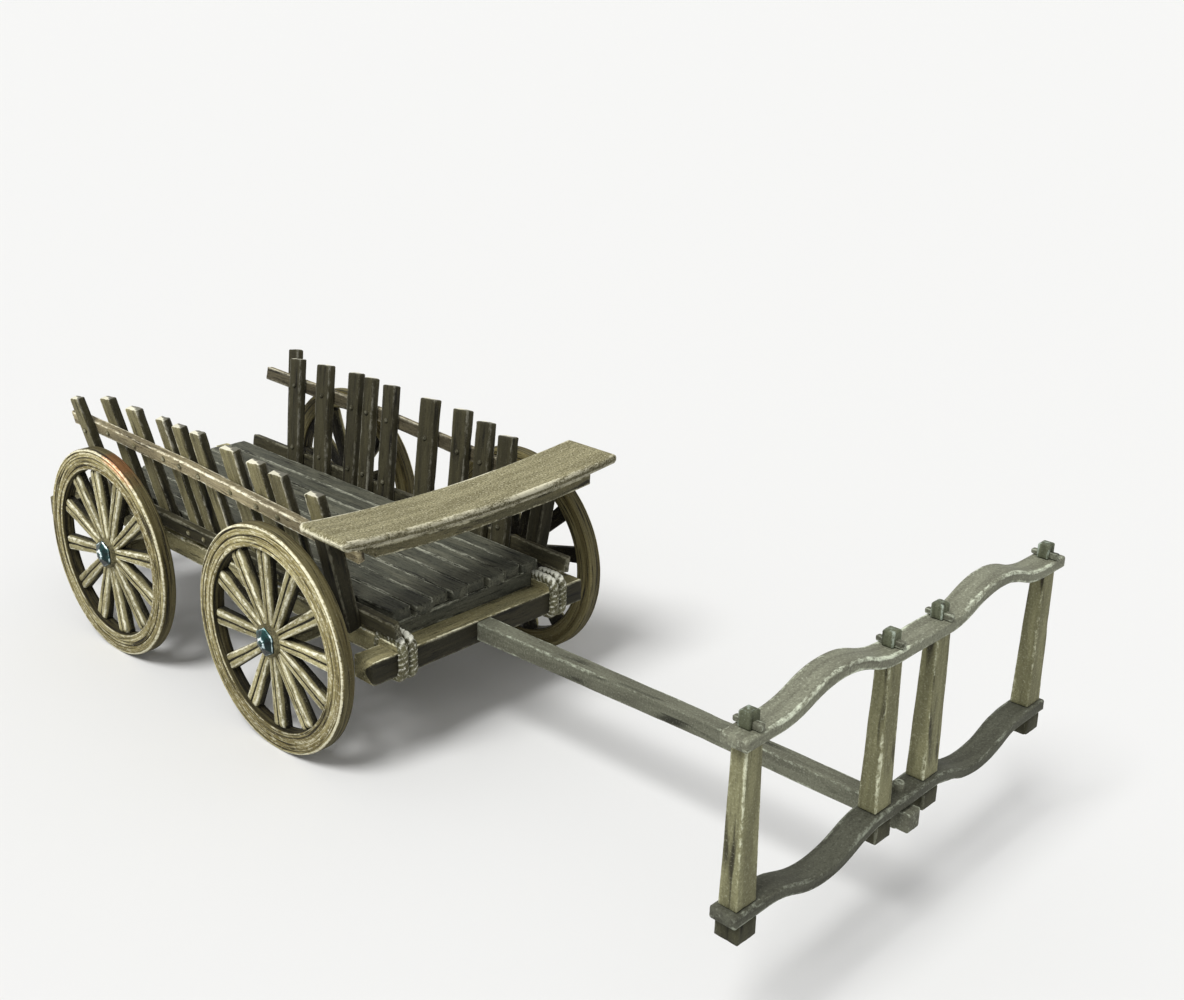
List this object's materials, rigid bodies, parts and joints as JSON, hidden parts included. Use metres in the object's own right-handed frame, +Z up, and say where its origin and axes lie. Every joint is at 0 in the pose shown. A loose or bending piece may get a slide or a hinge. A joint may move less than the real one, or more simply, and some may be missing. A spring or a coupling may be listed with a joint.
{
  "type": "ox wagon miniature",
  "caption": "Tabletop miniature of an open four-wheeled ox wagon with flared stake sides, a plank seat and a draught pole that carries a double neck yoke",
  "frame": {"origin": "middle of the model's length and width, on the ground that the wheels stand on", "axes": "+X forward towards the yoke, +Y to the wagon's left, +Z up"},
  "size_m": [0.104, 0.0414, 0.0274],
  "materials": {
    "cart_wood": "matt brown painted wood colour with pale dry-brushed edges",
    "deck_wood": "matt dark grey-green painted planks with pale streaks",
    "seat_wood": "matt pale grey-tan painted plank with worn edges",
    "yoke_wood": "matt grey-brown painted wood colour with pale edges",
    "rope": "matt pale painted rope",
    "wheel_wood": "matt olive-tan painted wood colour with nearly white edges",
    "hub_metal": "dark blue-green metallic paint"
  },
  "bodies": {
    "wagon": {"front_axle": "cart_wood", "rear_axle": "cart_wood", "front_cross_beam": "cart_wood", "rear_cross_beam": "cart_wood", "seat_bearer": "cart_wood", "right_chassis_rail": "cart_wood", "left_chassis_rail": "cart_wood", "right_stakes": "cart_wood", "left_stakes": "cart_wood", "right_lower_side_rail": "cart_wood", "left_lower_side_rail": "cart_wood", "right_upper_side_rail": "cart_wood", "left_upper_side_rail": "cart_wood", "right_seat_strut": "cart_wood", "left_seat_strut": "cart_wood", "deck_bearers": "deck_wood", "header_board": "deck_wood", "deck_planks": "deck_wood", "seat_board": "seat_wood", "draught_pole": "yoke_wood", "yoke_upper_beam": "yoke_wood", "yoke_lower_beam": "yoke_wood", "yoke_pin": "yoke_wood", "right_outer_yoke_post": "yoke_wood", "right_inner_yoke_post": "yoke_wood", "left_inner_yoke_post": "yoke_wood", "left_outer_yoke_post": "yoke_wood", "right_outer_yoke_key": "yoke_wood", "right_inner_yoke_key": "yoke_wood", "left_inner_yoke_key": "yoke_wood", "left_outer_yoke_key": "yoke_wood", "right_rope_lashing": "rope", "left_rope_lashing": "rope"},
    "front_left_wheel": {"front_left_felloe": "wheel_wood", "front_left_spokes": "wheel_wood", "front_left_hub_cap": "hub_metal"},
    "front_right_wheel": {"front_right_felloe": "wheel_wood", "front_right_spokes": "wheel_wood", "front_right_hub_cap": "hub_metal"},
    "rear_left_wheel": {"rear_left_felloe": "wheel_wood", "rear_left_spokes": "wheel_wood", "rear_left_hub_cap": "hub_metal"},
    "rear_right_wheel": {"rear_right_felloe": "wheel_wood", "rear_right_spokes": "wheel_wood", "rear_right_hub_cap": "hub_metal"}
  },
  "joints": [
    {"name": "front_left_wheel_turns", "type": "hinge", "parent": "wagon", "child": "front_left_wheel", "pos_m": [-0.0056, 0.0156, 0.011], "axis": [0, 1, 0], "continuous": true},
    {"name": "front_right_wheel_turns", "type": "hinge", "parent": "wagon", "child": "front_right_wheel", "pos_m": [-0.0056, -0.0156, 0.011], "axis": [0, 1, 0], "continuous": true},
    {"name": "rear_left_wheel_turns", "type": "hinge", "parent": "wagon", "child": "rear_left_wheel", "pos_m": [-0.034, 0.0156, 0.011], "axis": [0, 1, 0], "continuous": true},
    {"name": "rear_right_wheel_turns", "type": "hinge", "parent": "wagon", "child": "rear_right_wheel", "pos_m": [-0.034, -0.0156, 0.011], "axis": [0, 1, 0], "continuous": true}
  ]
}
